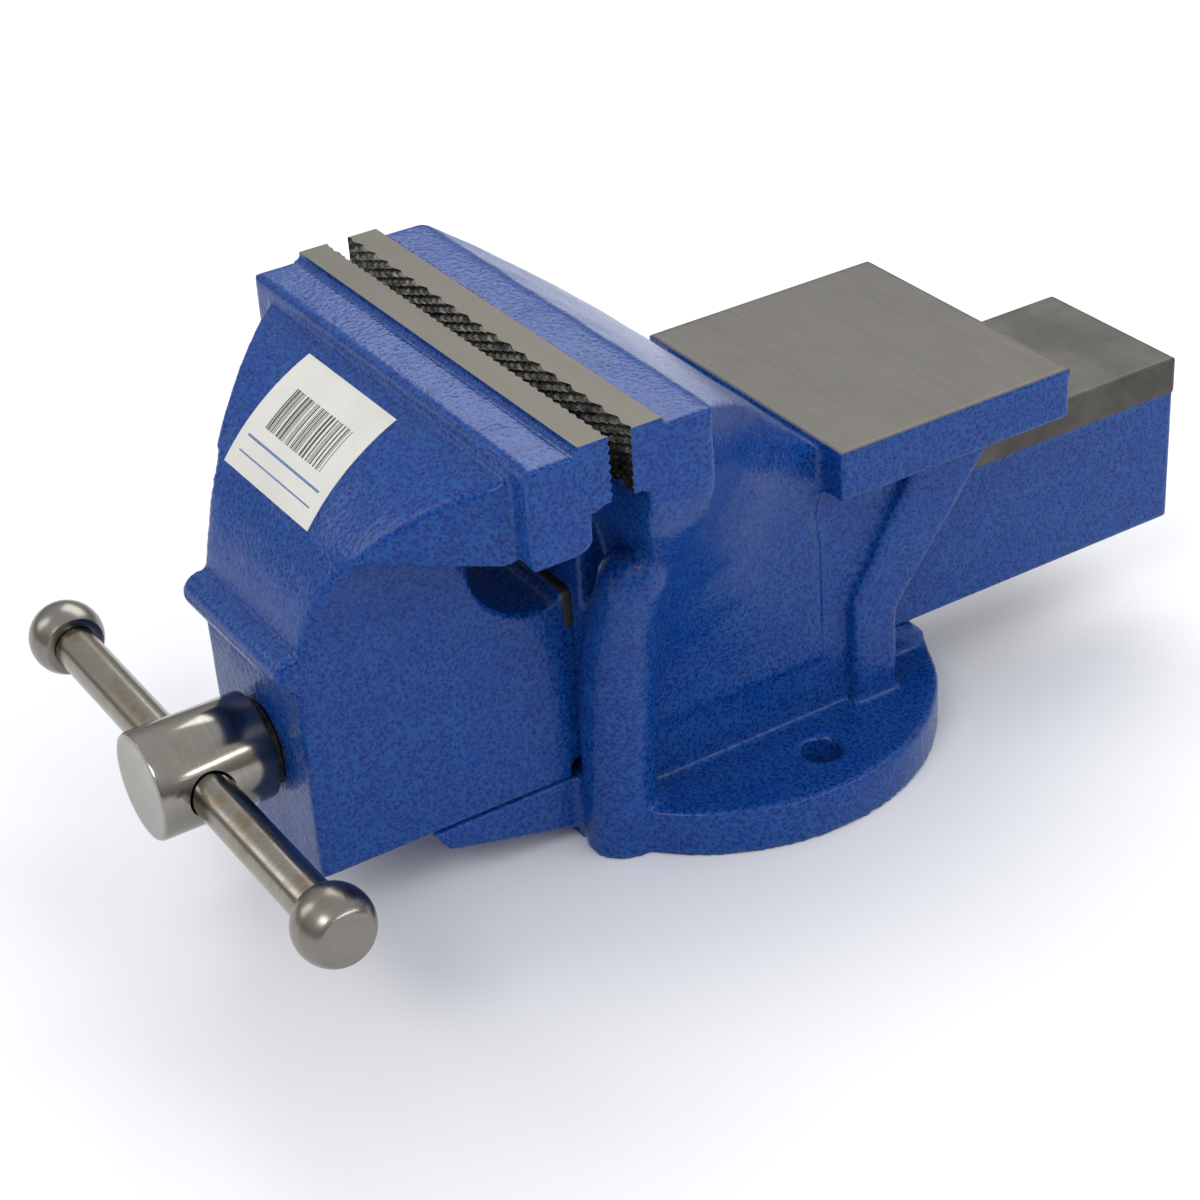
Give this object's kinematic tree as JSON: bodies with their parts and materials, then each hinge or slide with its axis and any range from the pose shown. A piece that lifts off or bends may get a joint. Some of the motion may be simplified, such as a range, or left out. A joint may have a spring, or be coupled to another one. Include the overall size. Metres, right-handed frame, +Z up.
{
  "type": "bench vise",
  "caption": "Fixed-base bench vise with serrated jaw plates, rear anvil, channel slide, screw spindle and sliding tommy bar.",
  "frame": {"origin": "centre of the round base's underside, on the bench", "axes": "+Z up, +Y from the handle to the rear end of the slide along the screw, +X along the jaws"},
  "size_m": [0.1844, 0.3434, 0.156],
  "materials": {
    "paint": "glossy blue hammertone enamel on cast iron",
    "jaw_steel": "ground top, oiled cross-cut gripping face",
    "bright_steel": "turned bright steel with light stains",
    "dark_steel": "blackened and oiled",
    "spring_steel": "drawn spring wire",
    "nut_iron": "cast iron with a cut thread",
    "label_paper": "coated white paper sticker"
  },
  "bodies": {
    "base": {"fixed_body": "paint", "fixed_jaw_plate": "jaw_steel", "fixed_jaw_screw_left": "dark_steel", "fixed_jaw_screw_right": "dark_steel", "spindle_nut": "nut_iron", "nut_bolt": "dark_steel", "nut_bolt_washer": "dark_steel"},
    "slide": {"moving_jaw": "paint", "moving_jaw_plate": "jaw_steel", "moving_jaw_screw_left": "dark_steel", "moving_jaw_screw_right": "dark_steel", "barcode_label": "label_paper", "thrust_washer": "dark_steel", "spindle_spring": "spring_steel", "spring_washer": "dark_steel"},
    "screw": {"spindle": "bright_steel", "split_pin": "dark_steel"},
    "bar": {"tommy_bar": "bright_steel", "bar_knob_left": "bright_steel", "bar_knob_right": "bright_steel"}
  },
  "joints": [
    {"name": "jaw_slide", "type": "slide", "parent": "base", "child": "slide", "axis": [0, -1, 0], "range_m": [-0.00601, 0.14401]},
    {"name": "spindle_turn", "type": "hinge", "parent": "slide", "child": "screw", "pos_m": [0, -0.1693, 0.054], "axis": [0, -1, 0], "range_deg": [-432, 10368]},
    {"name": "bar_slide", "type": "slide", "parent": "screw", "child": "bar", "axis": [1, 0, 0], "range_m": [-0.0615, 0.0615]}
  ],
  "couplings": [
    {"joint": "jaw_slide", "follows": "spindle_turn", "m_per_rad": 0.00079577}
  ]
}
